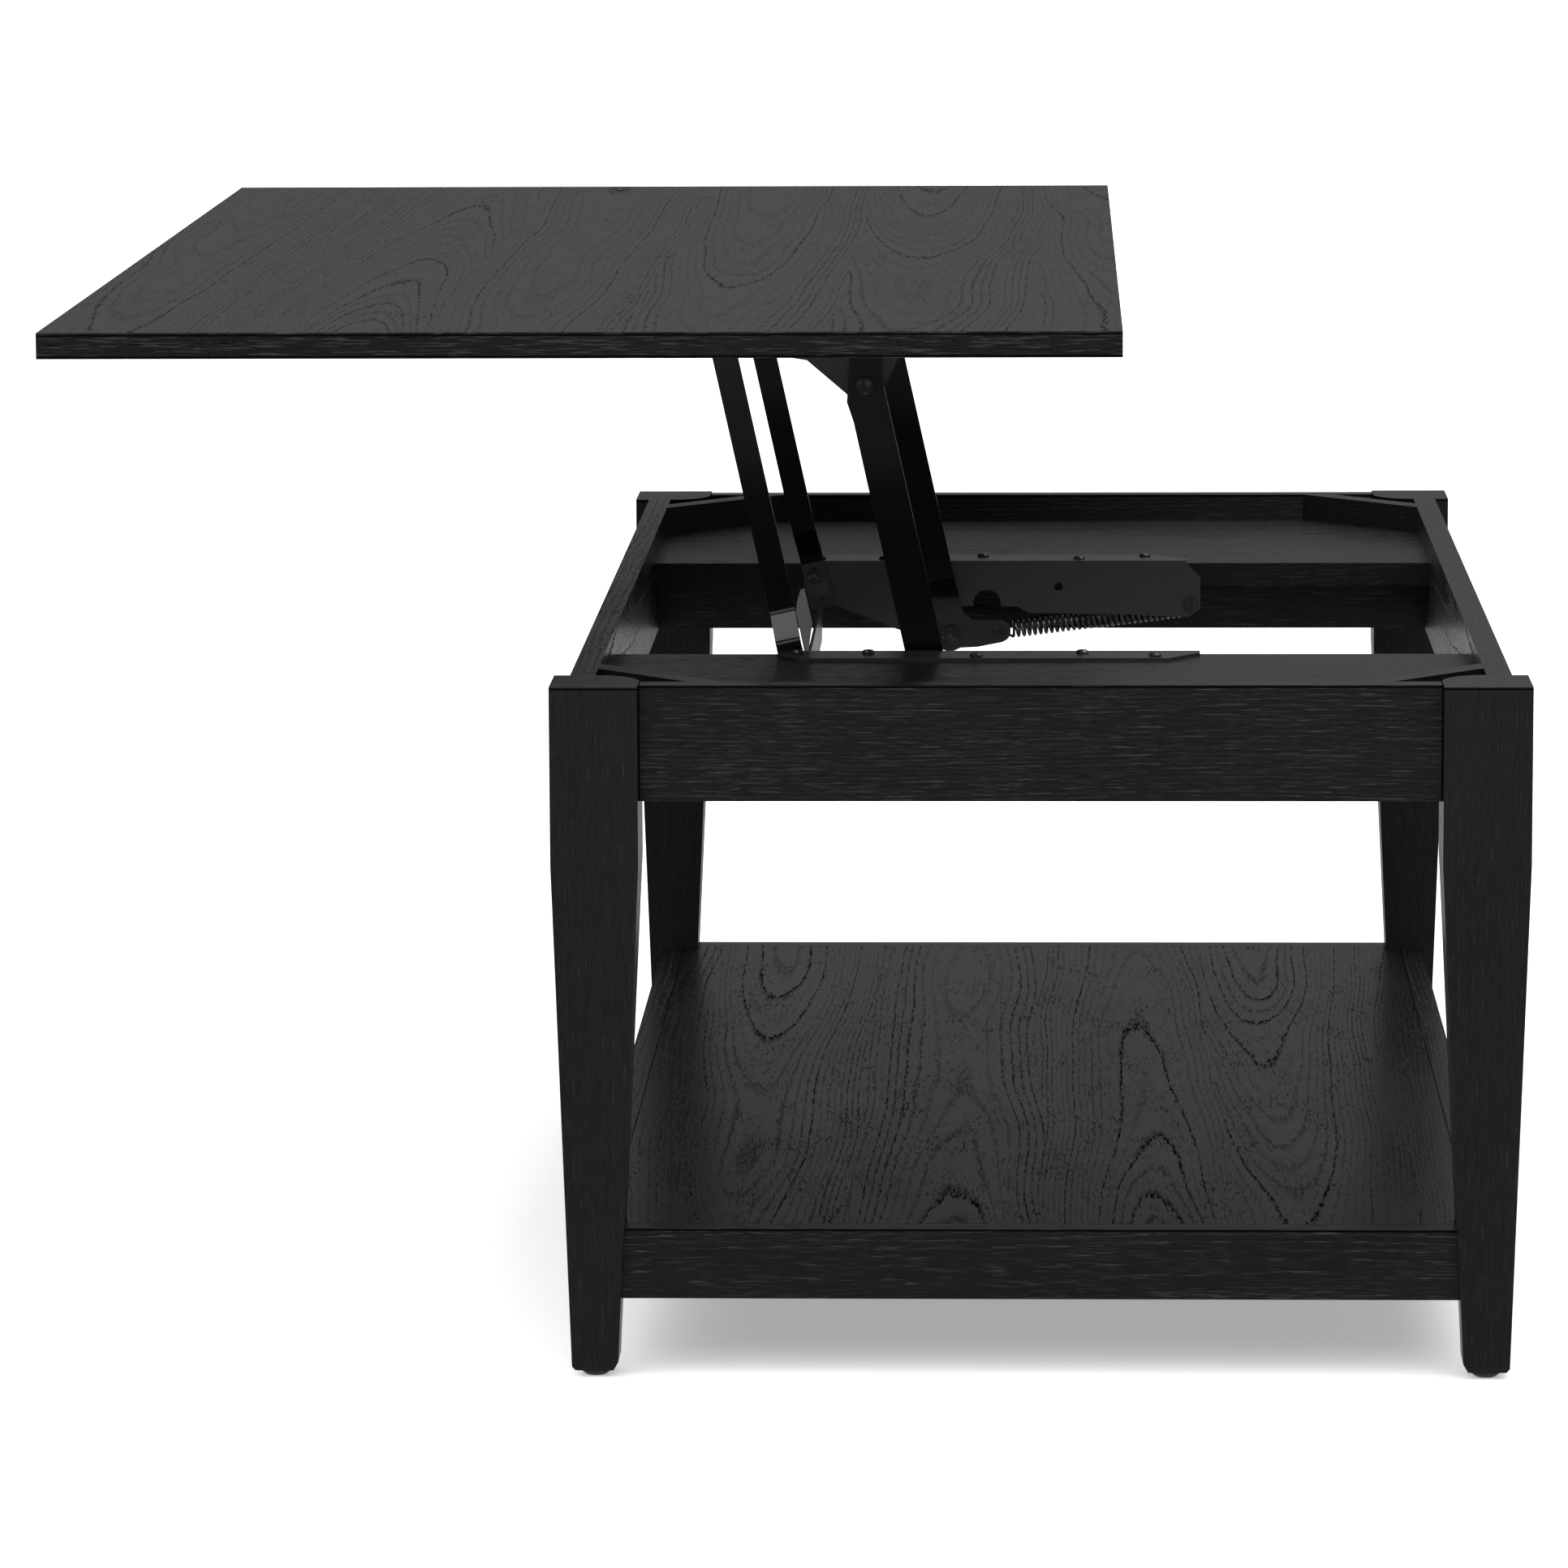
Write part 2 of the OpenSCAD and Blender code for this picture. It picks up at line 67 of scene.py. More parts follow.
# The place and turn of the camera, in the row frame: metres and radians
CAMERA_AT = Vector((0.0048, -5.110, 1.0959))
YAW, PITCH, ROLL = -0.03571, 0.15468, -0.00533
LENS, SENSOR = 171.5, 36.0


def make_camera():
    forward = Vector((math.sin(YAW) * math.cos(PITCH), math.cos(YAW) * math.cos(PITCH), -math.sin(PITCH)))
    right = Vector((math.cos(YAW), -math.sin(YAW), 0.0))
    up = right.cross(forward)
    right_rolled = math.cos(ROLL) * right + math.sin(ROLL) * up
    up_rolled = -math.sin(ROLL) * right + math.cos(ROLL) * up
    data = bpy.data.cameras.new("camera")
    data.lens = LENS
    data.sensor_width = SENSOR
    data.clip_end = 200
    cam = bpy.data.objects.new("camera", data)
    turn = Matrix((right_rolled, up_rolled, -forward)).transposed()
    cam.matrix_world = Matrix.Translation(CAMERA_AT) @ turn.to_4x4()
    scene.collection.objects.link(cam)
    scene.camera = cam


# ---------- node helpers ----------

class Tree:
    """A material's node tree, with short calls for the nodes used here."""

    def __init__(self, name):
        self.material = bpy.data.materials.new(name)
        self.material.use_nodes = True
        self.nodes = self.material.node_tree.nodes
        self.links = self.material.node_tree.links
        self.shader = self.nodes["Principled BSDF"]

    def link(self, source, target):
        if isinstance(source, (int, float)):
            target.default_value = source
        else:
            self.links.new(source, target)

    def math(self, operation, a, b=None, c=None):
        node = self.nodes.new("ShaderNodeMath")
        node.operation = operation
        for value, socket in zip((a, b, c), node.inputs):
            if value is not None:
                self.link(value, socket)
        return node.outputs[0]

    def spread(self, value, low, high, to_low=0.0, to_high=1.0, smooth=True):
        node = self.nodes.new("ShaderNodeMapRange")
        node.interpolation_type = "SMOOTHSTEP" if smooth else "LINEAR"
        self.link(value, node.inputs["Value"])
        for name, number in (("From Min", low), ("From Max", high), ("To Min", to_low), ("To Max", to_high)):
            self.link(number, node.inputs[name])
        return node.outputs[0]

    def combine(self, x, y, z):
        node = self.nodes.new("ShaderNodeCombineXYZ")
        for value, socket in zip((x, y, z), node.inputs):
            self.link(value, socket)
        return node.outputs[0]

    def noise(self, vector, scale, detail=2.0, rough=0.5):
        """Noise with scale cells for each unit of the vector."""
        node = self.nodes.new("ShaderNodeTexNoise")
        self.link(vector, node.inputs["Vector"])
        node.inputs["Scale"].default_value = scale
        node.inputs["Detail"].default_value = detail
        node.inputs["Roughness"].default_value = rough
        return node.outputs[0]

    def pattern(self, rates, across, along, through, detail=1.0, rough=0.5):
        """Noise that is this fine across and along the grain. through is a distance through the wood, or a
        plain number that picks the pattern."""
        across = self.math("MULTIPLY", across, rates[0])
        along = self.math("MULTIPLY", along, rates[1])
        if not isinstance(through, float):
            through = self.math("MULTIPLY", through, rates[0])
        return self.noise(self.combine(across, along, through), 1.0, detail, rough)

    def centred(self, value):
        return self.math("SUBTRACT", value, 0.5)

    def random(self, value):
        node = self.nodes.new("ShaderNodeTexWhiteNoise")
        node.noise_dimensions = "1D"
        self.link(value, node.inputs["W"])
        return node.outputs[0]

    def split(self, vector):
        node = self.nodes.new("ShaderNodeSeparateXYZ")
        self.links.new(vector, node.inputs[0])
        return node.outputs

    def object_xyz(self):
        self.coords = self.nodes.new("ShaderNodeTexCoord")
        self.coords_xyz = self.split(self.coords.outputs["Object"])
        return self.coords_xyz

    def mix(self, factor, a, b):
        node = self.nodes.new("ShaderNodeMix")
        for value, socket in zip((factor, a, b), (node.inputs[0], node.inputs[2], node.inputs[3])):
            self.link(value, socket)
        return node.outputs[0]

    def mix_color(self, factor, a, b):
        node = self.nodes.new("ShaderNodeMix")
        node.data_type = "RGBA"
        self.link(factor, node.inputs["Factor"])
        for value, socket in ((a, node.inputs[6]), (b, node.inputs[7])):
            if isinstance(value, tuple):
                socket.default_value = (*value, 1.0)
            else:
                self.links.new(value, socket)
        return node.outputs[2]

    def bump(self, height, strength, distance):
        node = self.nodes.new("ShaderNodeBump")
        node.inputs["Strength"].default_value = strength
        node.inputs["Distance"].default_value = distance
        self.link(height, node.inputs["Height"])
        return node.outputs[0]

    def finish(self, color, roughness, normal=None, **constants):
        self.links.new(color, self.shader.inputs["Base Color"])
        self.link(roughness, self.shader.inputs["Roughness"])
        if normal is not None:
            self.links.new(normal, self.shader.inputs["Normal"])
        for name, number in constants.items():
            self.shader.inputs[name.replace("_", " ")].default_value = number
        return self.material


# ---------- black stained oak ----------

RING = 2.8 * MM        # mean width of a growth ring
HEART = 55 * MM        # mean distance of the cut from the log's heart
LEAF_SPREAD = 30 * MM  # how much that distance differs from one veneer leaf to the next
TURN_BACK = 20 * MM    # depth over which the cut drifts away from the heart, before it drifts back
DRIFT = 0.4            # how far it drifts, for each metre of depth
UNEVEN_BY = 6 * MM     # how far the widths of the rings stray
RAGGED_BY = 1.6 * MM   # how far the torn edge of a ring line strays

STAIN = (0.0050, 0.0050, 0.0051)
HAZY, FIBROUS = 1.4, 0.6          # tone where the lacquer pools and hazes, and on the fibres, times STAIN
PORE_STAIN = (0.0015, 0.0015, 0.0015)
# painted highlight: the tone of the pores' lips where they catch the light
PORE_LIP_HIGHLIGHT = (0.030, 0.030, 0.0304)
PORE_DARK = 0.85       # how fully the pores take their own stain
PORE_DEPTH = 0.12 * MM
SPECULAR = 0.42        # of the lacquer, away from its grooves
GLOSS = (0.24, 0.30)   # roughness of the lacquer, from where it is thin to where it pools
PORE_ROUGH = 0.28      # added to it in a pore
LINE_CORE, LINE_EDGE = 0.3 * MM, 0.9 * MM      # half widths of a joint line: fully dark, and faded out

# How fine each pattern is, across and along the grain: cells per metre
SWAY = (2.2, 2.0)
UNEVEN = (17.0, 3.0)
RAGGED = (260.0, 42.0)
DASHES = (900.0, 90.0)
PATCHES = (40.0, 14.0)
HAZE = (14.0, 5.0)
FIBRE = (700.0, 25.0)
LIPS = (1250.0, 58.0)
WALK = 2.2             # how quickly a leaf's distance from the heart changes along the grain
LEAF_STEP = 3.3        # how far apart two leaves are in the noise, so that they differ


def face_coordinates(t, main, turned):
    """Distances across and along the grain, and through the wood. main is (across, along) for most faces;
    turned gives another pair for the faces that look along an axis."""
    xyz = t.object_xyz()
    picked = [xyz[main[0]], xyz[main[1]], xyz[3 - main[0] - main[1]]]
    t.normal_axes = t.split(t.coords.outputs["Normal"])
    for axis, (across, along) in turned.items():
        facing = t.math("GREATER_THAN", t.math("ABSOLUTE", t.normal_axes[axis]), 0.9)
        other = [xyz[across], xyz[along], xyz[3 - across - along]]
        picked = [t.mix(facing, p, o) for p, o in zip(picked, other)]
    return picked


def ring_distance(t, u, v, w, seed, leaf, offset, taper, wobble, wander):
    """How far each point is from the heart of the log that its veneer leaf was cut from."""
    sway = t.math("MULTIPLY", t.centred(t.pattern(SWAY, u, v, seed)), wander)
    u_warp = t.math("ADD", u, sway)
    leaf_number = t.math("FLOOR", t.math("DIVIDE", u_warp, leaf))
    pick = t.random(t.math("ADD", leaf_number, seed * 1.7))
    pick_2 = t.random(t.math("ADD", leaf_number, seed * 3.1 + 0.37))
    centre = t.math("MULTIPLY", t.math("ADD", leaf_number, t.math("MULTIPLY_ADD", pick, 0.5, 0.25)), leaf)
    side = t.math("ADD", t.math("SUBTRACT", u_warp, centre), offset)
    walk = t.combine(t.math("MULTIPLY", leaf_number, LEAF_STEP), t.math("MULTIPLY", v, WALK), seed + 4.0)
    depth = t.math("MULTIPLY", t.centred(t.noise(walk, 1.0, 0.6)), wobble)
    depth = t.math("MULTIPLY_ADD", t.centred(pick_2), LEAF_SPREAD, depth)
    depth = t.math("MULTIPLY_ADD", t.centred(pick), t.math("MULTIPLY", v, taper * 2.0), depth)
    depth = t.math("ADD", t.math("MULTIPLY_ADD", t.math("PINGPONG", w, TURN_BACK), DRIFT, HEART), depth)
    return t.math("SQRT", t.math("ADD", t.math("MULTIPLY", side, side), t.math("MULTIPLY", depth, depth)))


def oak(name, main, turned, seed, leaf=0.125, offset=0.0, taper=0.05, wobble=0.016, wander=0.026, rim=0.0,
        edge=0.0, cut=1.0, shade=1.0, seams=()):
    """Open pore oak. leaf is a veneer's width, offset shifts the cut sideways for straight grain, taper and
    wobble shape the arches, wander is how far the grain strays sideways, rim and edge are how much painted
    highlight the pores' lips get, where they catch the light, on the faces or on the narrow edges, cut is how
    deep the pores look, shade scales the stain's tone, and seams are the (axis, place) of dark joint and
    veneer lines and of the dark line under the frame's top edge."""
    t = Tree(name)
    u, v, w = face_coordinates(t, main, turned)

    # ring lines, uneven in width and torn where the pores are cut
    radius = ring_distance(t, u, v, w, seed, leaf, offset, taper, wobble, wander)
    uneven = t.centred(t.pattern(UNEVEN, u, v, seed + 2.0))
    radius = t.math("MULTIPLY_ADD", uneven, UNEVEN_BY, radius)
    ruffle = t.math("MULTIPLY", t.centred(t.pattern(RAGGED, u, v, w, 2.0, 0.6)), RAGGED_BY)
    ring_count = t.math("DIVIDE", t.math("ADD", radius, ruffle), RING)
    phase = t.math("FRACT", ring_count)
    line = t.math("SUBTRACT", 1.0, t.spread(phase, 0.10, 0.42))
    line = t.math("MULTIPLY", line, t.spread(phase, 0.0, 0.05))
    strong = t.random(t.math("FLOOR", ring_count))
    line = t.math("MULTIPLY", line, t.spread(strong, 0.1, 0.7, 0.25, 1.0, False))

    # pores: short dashes along the grain, crowded on the ring lines and thin between them
    dashes = t.pattern(DASHES, u, v, w)
    crowded = t.spread(dashes, 0.40, 0.52)
    patch = t.pattern(PATCHES, u, v, seed, 2.0)
    thin = t.math("MULTIPLY", t.spread(dashes, 0.56, 0.66), t.spread(patch, 0.40, 0.65, 0.1, 0.8, False))
    pores = t.math("MAXIMUM", t.math("MULTIPLY", line, crowded), thin)
    groove = t.math("MAXIMUM", pores, t.math("MULTIPLY", line, 0.18))

    # the lacquer pools a little unevenly, and the lips of the pores get a painted highlight where they catch
    # the light
    haze = t.pattern(HAZE, u, v, seed + 9.0, 3.0)
    fibre = t.pattern(FIBRE, u, v, w, 2.0)
    stain = tuple(shade * c for c in STAIN)
    hazy = tuple(HAZY * c for c in stain)
    fibrous = tuple(FIBROUS * c for c in stain)
    tone = t.mix_color(t.spread(haze, 0.3, 0.7, 0.0, 0.4, False), stain, hazy)
    tone = t.mix_color(t.spread(fibre, 0.35, 0.65, 0.0, 0.5, False), tone, fibrous)
    tone = t.mix_color(t.math("MULTIPLY", groove, PORE_DARK * cut), tone, PORE_STAIN)
    if rim or edge:
        lips = t.spread(t.pattern(LIPS, u, v, w), 0.55, 0.68)
        # painted highlight on the upright faces only, where light from above catches the lips
        if edge:
            where = t.math("LESS_THAN", t.math("ABSOLUTE", t.normal_axes[Z]), 0.7)
        else:
            where = t.spread(phase, 0.0, 0.45, 1.0, 0.25, False)
        painted_lip_highlight = t.math("MULTIPLY", t.math("MULTIPLY", lips, where), edge or rim)
        tone = t.mix_color(painted_lip_highlight, tone, PORE_LIP_HIGHLIGHT)

    # joint and veneer lines, and the line under the frame's top edge, are dark and dull
    dull = groove
    for axis, place in seams:
        away = t.math("ABSOLUTE", t.math("SUBTRACT", t.coords_xyz[axis], place))
        seam = t.spread(away, LINE_CORE, LINE_EDGE, 1.0, 0.0)
        tone = t.mix_color(seam, tone, PORE_STAIN)
        dull = t.math("MAXIMUM", dull, t.math("MULTIPLY", seam, 1.0 / cut))
    level = t.math("SUBTRACT", SPECULAR, t.math("MULTIPLY", dull, SPECULAR * cut))
    t.link(level, t.shader.inputs["Specular IOR Level"])

    gloss = t.spread(haze, 0.3, 0.7, *GLOSS, False)
    roughness = t.math("ADD", gloss, t.math("MULTIPLY", groove, PORE_ROUGH))
    relief = t.math("SUBTRACT", t.math("MULTIPLY", fibre, 0.02), groove)
    return t.finish(tone, roughness, t.bump(relief, 0.8, PORE_DEPTH))


# ---------- metal, plastic and rubber ----------

# Heights on the arms as modelled, in the row frame: metres. The lighter bands are painted sheen, the
# reflection on the glossy arms.
SHEEN_BANDS_COME = (0.520, 0.560)      # where the lighter bands come in
SHEEN_BANDS_GO = (0.600, 0.645)        # where they thin out towards the lid
LEVER_ENDS = (0.395, 0.402)      # where the lever's lighter tone ends

# painted sheen: the tone of the lighter bands on the glossy arms
BAND_SHEEN_TONE = (0.018, 0.018, 0.0183)
LEVER_TONE = (0.022, 0.022, 0.0222)
DUST = (0.02, 0.02, 0.0205)


def enamel(name, tone, gloss, sheen_banded=0.0):
    """Black gloss enamel on pressed steel, with a slight orange peel. The banding amount adds soft lighter
    bands along a long bent arm's height: painted sheen, the reflection such an arm shows."""
    t = Tree(name)
    x, y, z = t.object_xyz()
    place = t.combine(x, y, z)
    peel = t.noise(place, 420.0, 2.0)
    smear = t.noise(place, 26.0, 3.0)
    dust = t.spread(t.noise(place, 900.0, 1.0), 0.70, 0.78)
    # painted sheen: soft lighter bands on the upper arms, a reflection in the gloss painted into the colour
    bands = t.noise(t.combine(0.0, t.math("MULTIPLY", y, 12.0), t.math("MULTIPLY", z, 15.0)), 1.0, 1.5)
    upper = t.math("MULTIPLY", t.spread(z, *SHEEN_BANDS_COME), t.spread(z, *SHEEN_BANDS_GO, 1.0, 0.4))
    painted_sheen = t.math("MULTIPLY", t.math("MULTIPLY", upper, t.spread(bands, 0.30, 0.70, 0.3, 1.0)), sheen_banded)
    color = t.mix_color(painted_sheen, tuple(tone * c for c in (1.0, 1.0, 1.02)), BAND_SHEEN_TONE)
    if sheen_banded:
        color = t.mix_color(t.spread(z, *LEVER_ENDS, 0.9, 0.0), color, LEVER_TONE)
    color = t.mix_color(t.math("MULTIPLY", dust, 0.4), color, DUST)
    roughness = t.spread(smear, 0.3, 0.7, 0.23, 0.29, False)
    return t.finish(color, roughness, t.bump(peel, 0.06, 0.0002), Specular_IOR_Level=gloss)


def black_zinc():
    t = Tree("black_zinc")
    x, y, z = t.object_xyz()
    place = t.combine(x, y, z)
    scratch = t.noise(place, 700.0, 3.0)
    worn = t.spread(t.noise(place, 260.0, 2.0), 0.55, 0.72)
    color = t.mix_color(worn, (0.05, 0.05, 0.052), (0.14, 0.14, 0.144))
    roughness = t.spread(scratch, 0.3, 0.7, 0.26, 0.46, False)
    return t.finish(color, roughness, t.bump(scratch, 0.12, 0.0002), Metallic=0.85)


def spring_wire():
    t = Tree("spring_wire")
    x, y, z = t.object_xyz()
    place = t.combine(x, y, z)
    oil = t.noise(place, 180.0, 2.0)
    draw = t.noise(t.combine(t.math("MULTIPLY", x, 300.0), t.math("MULTIPLY", y, 2500.0), z), 1.0, 2.0)
    color = t.mix_color(t.spread(oil, 0.35, 0.65), (0.09, 0.09, 0.093), (0.25, 0.25, 0.248))
    roughness = t.spread(draw, 0.3, 0.7, 0.18, 0.34, False)
    return t.finish(color, roughness, t.bump(draw, 0.15, 0.0001), Metallic=0.9)


def moulded(name, tone, rough):
    t = Tree(name)
    x, y, z = t.object_xyz()
    grit = t.noise(t.combine(x, y, z), 1400.0, 2.0)
    color = t.mix_color(grit, tuple(0.8 * c for c in tone), tuple(1.25 * c for c in tone))
    roughness = t.spread(grit, 0.3, 0.7, rough - 0.06, rough + 0.06, False)
    return t.finish(color, roughness, t.bump(grit, 0.2, 0.0002))


# ---------- CAD nodes: edges and materials ----------

def soften(obj, width, segments):
    """Rounds the sharp edges of a CAD node as the real piece's are."""
    bevel = obj.modifiers.new("edges", "BEVEL")
    bevel.width = width
    bevel.segments = segments
    bevel.limit_method = "ANGLE"
    bevel.angle_limit = math.radians(35)
    bevel.harden_normals = True


def dress(obj, material, bevel=0.0, segments=2):
    obj.data.materials.clear()
    obj.data.materials.append(material)
    if bevel:
        soften(obj, bevel, segments)


# Grain of a member that runs along each axis: (across, along) for most faces, and for its other faces
LENGTHWISE = ((X, Y), {X: (Z, Y), Y: (Z, X)})
CROSSWISE = ((Z, X), {Z: (Y, X), X: (Z, Y)})
UPRIGHT = ((X, Z), {X: (Y, Z), Z: (Y, X)})
RAIL_LENGTHWISE = ((Z, Y), {Z: (X, Y), Y: (Z, X)})
BOARD_CROSSWISE = ((Y, X), {Y: (Z, X), X: (Z, Y)})

# How far in from the nearest edge each dark line lies
TOP_VENEER, BOTTOM_VENEER = 1.7 * MM, 1.2 * MM
FRAME_LINE, RAIL_LINE, JOINT_LINE = 1.2 * MM, 1.0 * MM, 0.4 * MM


def dress_wood():
    lid_low, lid_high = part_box("lid_panel")
    apron_low, apron_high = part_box("end_apron_right")
    rail_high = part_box("lower_end_rail_right")[1]
    lid_seams = ((Z, lid_high.z - TOP_VENEER), (Z, lid_low.z + BOTTOM_VENEER))
    # a dark line just under the frame's top edge, on the aprons and legs
    frame_top_line = (Z, apron_high.z - FRAME_LINE)
    apron_seams = ((X, apron_low.x + JOINT_LINE), (X, apron_high.x - JOINT_LINE), frame_top_line)
    rail_seam = (Z, rail_high.z - RAIL_LINE)

    straight = {"leaf": 0.4, "offset": 0.09, "taper": 0.01, "wobble": 0.01, "wander": 0.02, "rim": 1.0,
                "cut": 0.3, "shade": 1.1}
    long_rail = oak("oak_long_rail", *RAIL_LENGTHWISE, 6.0, **straight)
    short_rail = oak("oak_short_rail", *CROSSWISE, 5.0, **straight)
    looks = {
        "lid_panel": oak("oak_lid", *LENGTHWISE, 2.0, edge=0.75, cut=0.9, seams=lid_seams),
        "shelf_panel": oak("oak_shelf", *LENGTHWISE, 11.0, leaf=0.12),
        "end_apron": oak("oak_end_apron", *CROSSWISE, 5.0, **straight, seams=apron_seams),
        "lower_end_rail": oak("oak_lower_end_rail", *CROSSWISE, 5.0, **straight, seams=(rail_seam,)),
        "cross_rail": short_rail,
        "brace": short_rail,
        "front_apron": long_rail,
        "back_apron": long_rail,
        "lower_front_rail": long_rail,
        "lower_back_rail": long_rail,
        "shelf_cleat": long_rail,
        "mechanism_board": oak("oak_board", *BOARD_CROSSWISE, 9.0, leaf=0.3, offset=0.05, taper=0.01,
                               cut=0.6),
        "leg": oak("oak_leg", *UPRIGHT, 3.0, leaf=0.4, offset=0.09, taper=0.01, wobble=0.01, wander=0.01,
                   rim=0.4, cut=0.4, shade=1.42, seams=(frame_top_line,)),
    }
    for name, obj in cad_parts.items():
        for start, material in looks.items():
            if name.startswith(start):
                dress(obj, material, 1.1 * MM, 3)
                break


def dress_hardware():
    zinc = black_zinc()
    plates = enamel("black_enamel", 0.022, 0.6)
    arms = enamel("black_enamel_arms", 0.001, 0.3, 0.8)
    for side in ("right", "left"):
        dress(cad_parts[f"base_plate_{side}"], plates, 0.6 * MM)
        dress(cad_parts[f"upper_bracket_{side}"], plates, 0.6 * MM)
        dress(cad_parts[f"wide_arm_{side}"], arms, 0.1 * MM)
        dress(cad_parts[f"narrow_arm_{side}"], arms, 0.25 * MM)
    dress(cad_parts["crossbar"], plates, 0.6 * MM)
    for name in ("hanger_bolts", "hanger_nuts", "base_plate_screws", "narrow_lower_pins", "wide_lower_pins",
                 "spring_anchors", "open_stops", "spring_pins", "upper_bracket_screws", "narrow_upper_pins",
                 "wide_upper_pins"):
        dress(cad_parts[name], zinc, 0.35 * MM)
    dress(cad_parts["foot_glides"], moulded("nylon", (0.03, 0.03, 0.03), 0.5), 0.3 * MM)
    dress(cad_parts["lid_bumpers"], moulded("rubber_dots", (0.02, 0.02, 0.02), 0.7), 0.2 * MM)


# ---------- tension springs ----------

WIRE_R, COIL_R, HOOK_R = 1.05 * MM, 6.0 * MM, 3.6 * MM
HOOK = 9 * MM                              # from a pin to the end of the coil
COIL_DROP, COIL_LEAN = 1.2 * MM, 2.2 * MM  # how far the coil hangs below the pins, and more at the anchor
TURNS, STEPS = 30, 24                      # turns of the coil, and points in a turn
HOOK_STEPS = 12


def spring_path(length):
    """Middle of the wire, (along, up, aside) from the lever's pin: a hook round each pin, a coil between."""
    points = []
    for i in range(HOOK_STEPS + 1):
        a = math.radians(50 + 260 * i / HOOK_STEPS)
        points.append((HOOK_R * math.cos(a), HOOK_R * math.sin(a), 0.0))
    for i in range(TURNS * STEPS + 1):
        share = i / (TURNS * STEPS)
        a = -math.pi / 2 + 2 * math.pi * TURNS * share
        rise = COIL_R * math.sin(a) - COIL_DROP - COIL_LEAN * share
        points.append((HOOK + (length - 2 * HOOK) * share, rise, COIL_R * math.cos(a)))
    for i in range(HOOK_STEPS + 1):
        a = math.radians(230 - 260 * i / HOOK_STEPS)
        points.append((length + HOOK_R * math.cos(a), HOOK_R * math.sin(a), 0.0))
    return [Vector(p) for p in points]


def wire(name, points, radius, sides=10):
    """A round wire along the points, closed at both ends."""
    mesh = bpy.data.meshes.new(name)
    bm = bmesh.new()
    rings = []
    # each ring starts from the last one's direction, so that the wire doesn't twist
    for i, point in enumerate(points):
        along = (points[min(i + 1, len(points) - 1)] - points[max(i - 1, 0)]).normalized()
        first = along.orthogonal() if not rings else (aside - aside.dot(along) * along)
        aside = first.normalized()
        other = along.cross(aside)
        ring = []
        for k in range(sides):
            a = 2 * math.pi * k / sides
            ring.append(bm.verts.new(point + radius * (math.cos(a) * aside + math.sin(a) * other)))
        rings.append(ring)
    for one, two in zip(rings, rings[1:]):
        for k in range(sides):
            bm.faces.new((one[k], one[(k + 1) % sides], two[(k + 1) % sides], two[k])).smooth = True
    bm.faces.new(reversed(rings[0]))
    bm.faces.new(rings[-1])
    bmesh.ops.recalc_face_normals(bm, faces=bm.faces)
    bm.to_mesh(mesh)
    bm.free()
    obj = bpy.data.objects.new(name, mesh)
    scene.collection.objects.link(obj)
    return obj


def make_springs():
    material = spring_wire()
    lever_pin = middle("spring_pins")
    span = middle("spring_anchors") - lever_pin
    along = span.normalized()
    up = Vector((-along.z, 0.0, along.x))
    for side, sign in (("right", -1.0), ("left", 1.0)):
        base = lever_pin + Vector((0.0, middle(f"spring_{side}").y, 0.0))
        outward = Vector((0.0, sign, 0.0))
        path = [base + p.x * along + p.y * up + p.z * outward for p in spring_path(span.length)]
        coil = wire(f"coil_spring_{side}", path, WIRE_R)
        coil.data.materials.append(material)
        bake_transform(coil)
        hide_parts(f"spring_{side}", f"spring_hook_{side}")


# ---------- floor and light ----------

FLOOR_SIZE = 90
FLOOR_GLOW = 0.38


def pale_floor():
    """Matt white floor. It gives off a little light of its own, which softens the shadow on it."""
    t = Tree("pale_floor")
    x, y, z = t.object_xyz()
    fleck = t.noise(t.combine(x, y, z), 3.0, 4.0)
    color = t.mix_color(fleck, (0.86, 0.86, 0.86), (0.90, 0.90, 0.90))
    t.shader.inputs["Emission Color"].default_value = (1.0, 1.0, 1.0, 1.0)
    return t.finish(color, 0.9, None, Specular_IOR_Level=0.1, Emission_Strength=FLOOR_GLOW)


def make_floor():
    bpy.ops.mesh.primitive_plane_add(size=FLOOR_SIZE, location=(0, 0, 0))
    floor = bpy.context.object
    floor.name = "floor"
    floor.data.materials.append(pale_floor())
    floor.visible_glossy = False


def area_light(name, at, look_at, size, power):
    data = bpy.data.lights.new(name, "AREA")
    data.shape = "RECTANGLE"
    data.size, data.size_y = size
    data.energy = power
    light = bpy.data.objects.new(name, data)
    light.location = at
    light.rotation_euler = (Vector(look_at) - Vector(at)).to_track_quat("-Z", "Y").to_euler()
    light.visible_camera = False
    scene.collection.objects.link(light)
    return light


# Radiance of the room: its walls at the horizon, the ceiling's share of that, and the ceiling overhead
WALL, CEILING_LOW, OVERHEAD = 0.135, 0.10, 0.40
# Radiance of the floor in reflections: darker towards the front, brighter towards the back
FLOOR_FRONT, FLOOR_BACK = 0.13, 0.48

SUN_POWER, SUN_ANGLE = 4.2, math.radians(110)
SUN_TURN = (math.radians(12), math.radians(-6), 0)
STRIP_AT, STRIP_AIM = (-0.5, -4.4, 2.5), (-0.1, 0.0, 0.4)
STRIP_SIZE, STRIP_POWER = (1.6, 0.25), 8
CARD_AT, CARD_AIM = (-0.215, -0.309, 0.642), (-0.215, -0.309, 0.0)
CARD_SIZE, CARD_POWER = (0.10, 0.12), 0.17


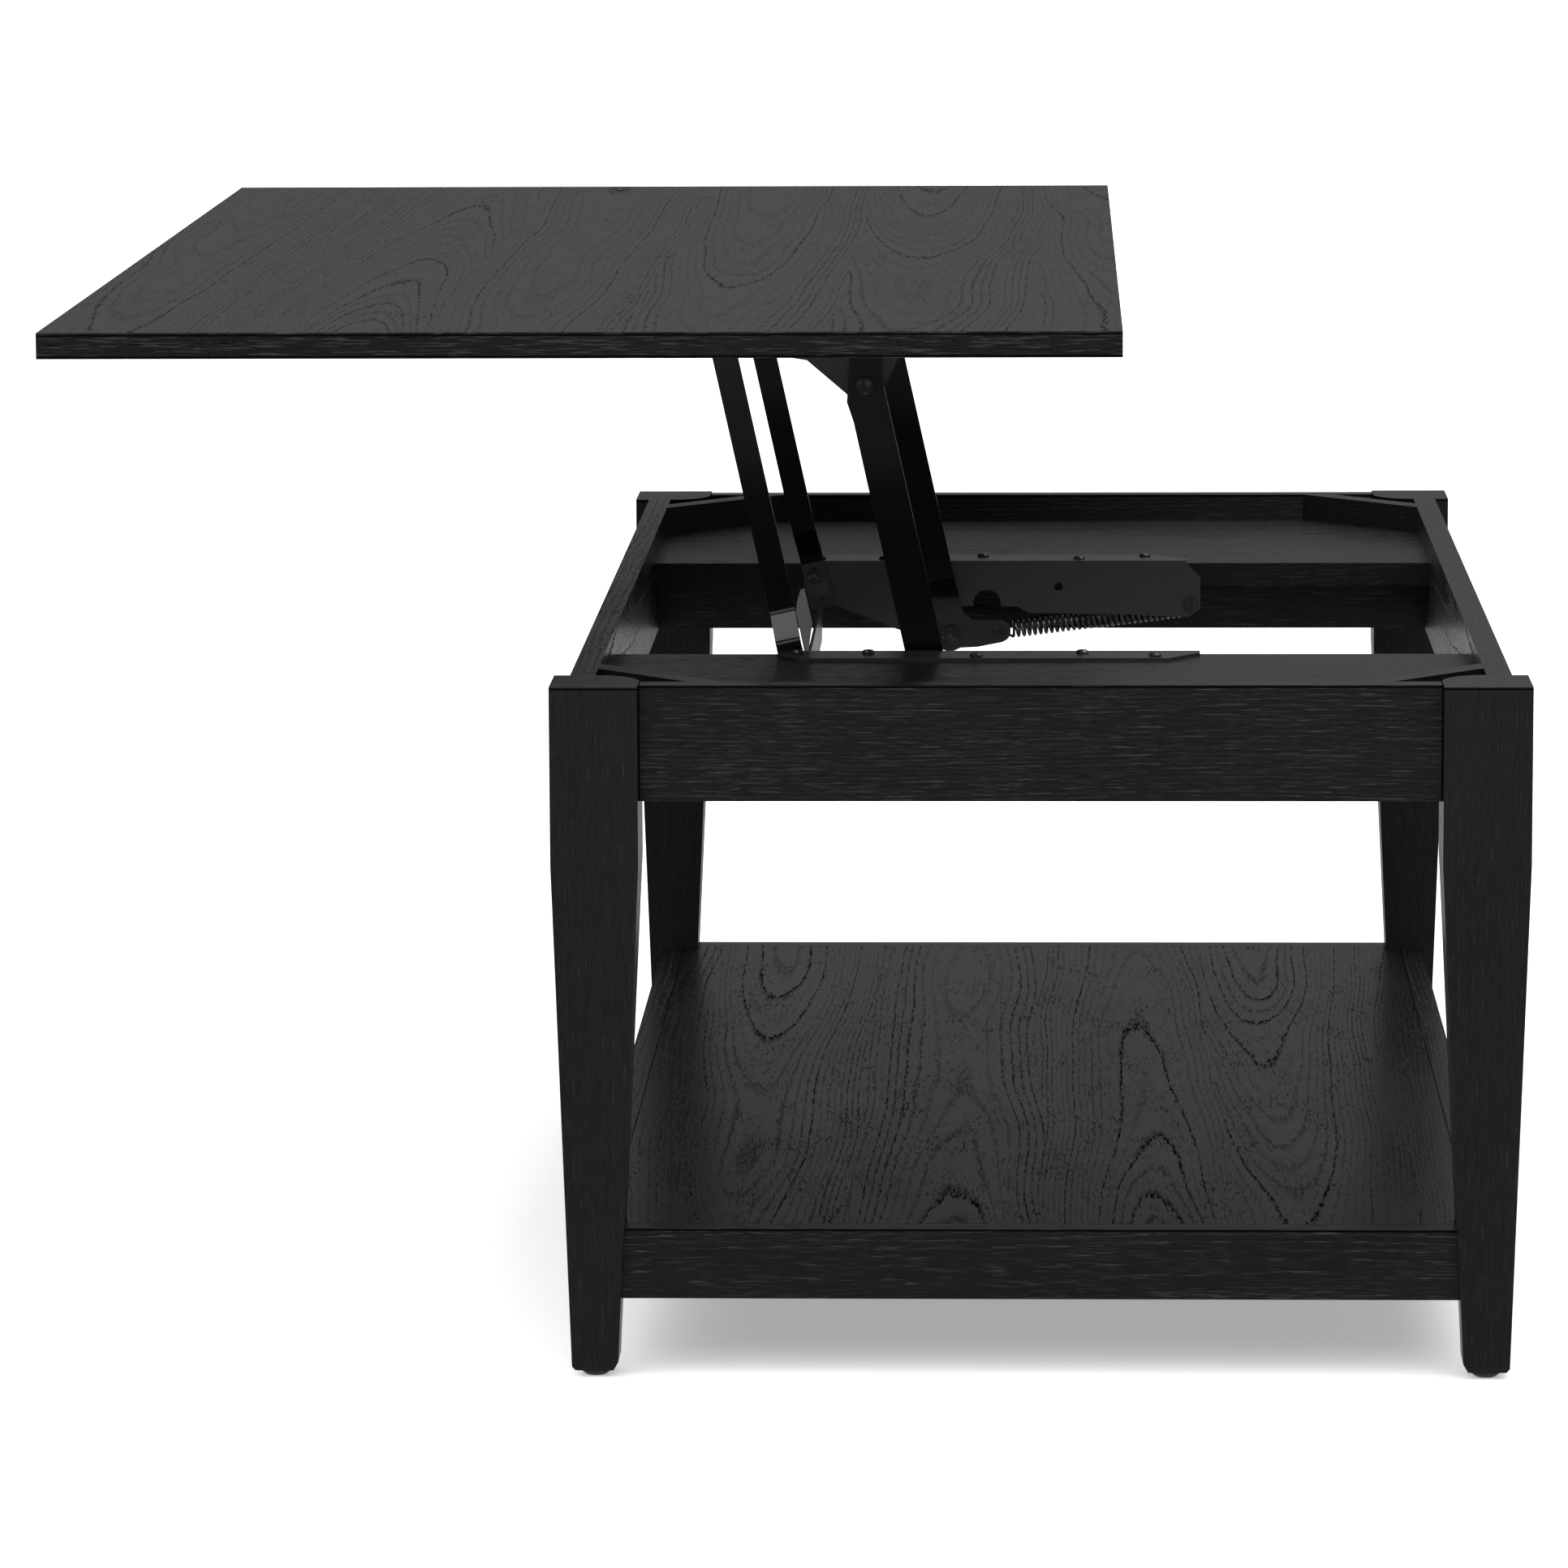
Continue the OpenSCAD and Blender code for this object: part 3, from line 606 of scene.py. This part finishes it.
def make_world():
    """A dim room with a lighter ceiling, for reflections: the floor fills the camera's own view."""
    world = bpy.data.worlds.new("studio")
    world.use_nodes = True
    tree = world.node_tree
    coords = tree.nodes.new("ShaderNodeTexCoord")
    split = tree.nodes.new("ShaderNodeSeparateXYZ")
    tree.links.new(coords.outputs["Generated"], split.inputs[0])

    def ramp(axis, low, high, to_low, to_high):
        """A blend along one axis of the direction that is looked in."""
        node = tree.nodes.new("ShaderNodeMapRange")
        node.interpolation_type = "SMOOTHSTEP"
        tree.links.new(split.outputs[axis], node.inputs["Value"])
        for name, number in (("From Min", low), ("From Max", high)):
            node.inputs[name].default_value = number
        for name, number in (("To Min", to_low), ("To Max", to_high)):
            if isinstance(number, float):
                node.inputs[name].default_value = number
            else:
                tree.links.new(number, node.inputs[name])
        return node.outputs[0]

    total = tree.nodes.new("ShaderNodeMath")
    total.operation = "ADD"
    tree.links.new(ramp(Z, 0.10, 0.45, WALL - CEILING_LOW, 0.0), total.inputs[0])
    tree.links.new(ramp(Z, 0.0, 0.8, CEILING_LOW, OVERHEAD), total.inputs[1])
    floor_light = ramp(Y, -0.3, 0.8, FLOOR_FRONT, FLOOR_BACK)
    background = tree.nodes["Background"]
    background.inputs["Color"].default_value = (1.0, 1.0, 1.0, 1.0)
    tree.links.new(ramp(Z, -0.04, 0.02, floor_light, total.outputs[0]), background.inputs["Strength"])
    scene.world = world


def make_light():
    make_world()
    sun = bpy.data.lights.new("ceiling", "SUN")
    sun.energy = SUN_POWER
    sun.angle = SUN_ANGLE
    sky = bpy.data.objects.new("ceiling", sun)
    sky.rotation_euler = SUN_TURN
    scene.collection.objects.link(sky)
    area_light("front_strip", STRIP_AT, STRIP_AIM, STRIP_SIZE, STRIP_POWER)
    # a card that moves with the lid, close under it: it shows only as a gleam on the glossy parts below
    card = area_light("card", CARD_AT, CARD_AIM, CARD_SIZE, CARD_POWER)
    card.visible_diffuse = False
    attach(card, "lid")
    scene.view_settings.view_transform = "Standard"


make_camera()
dress_wood()
dress_hardware()
make_springs()
make_floor()
make_light()
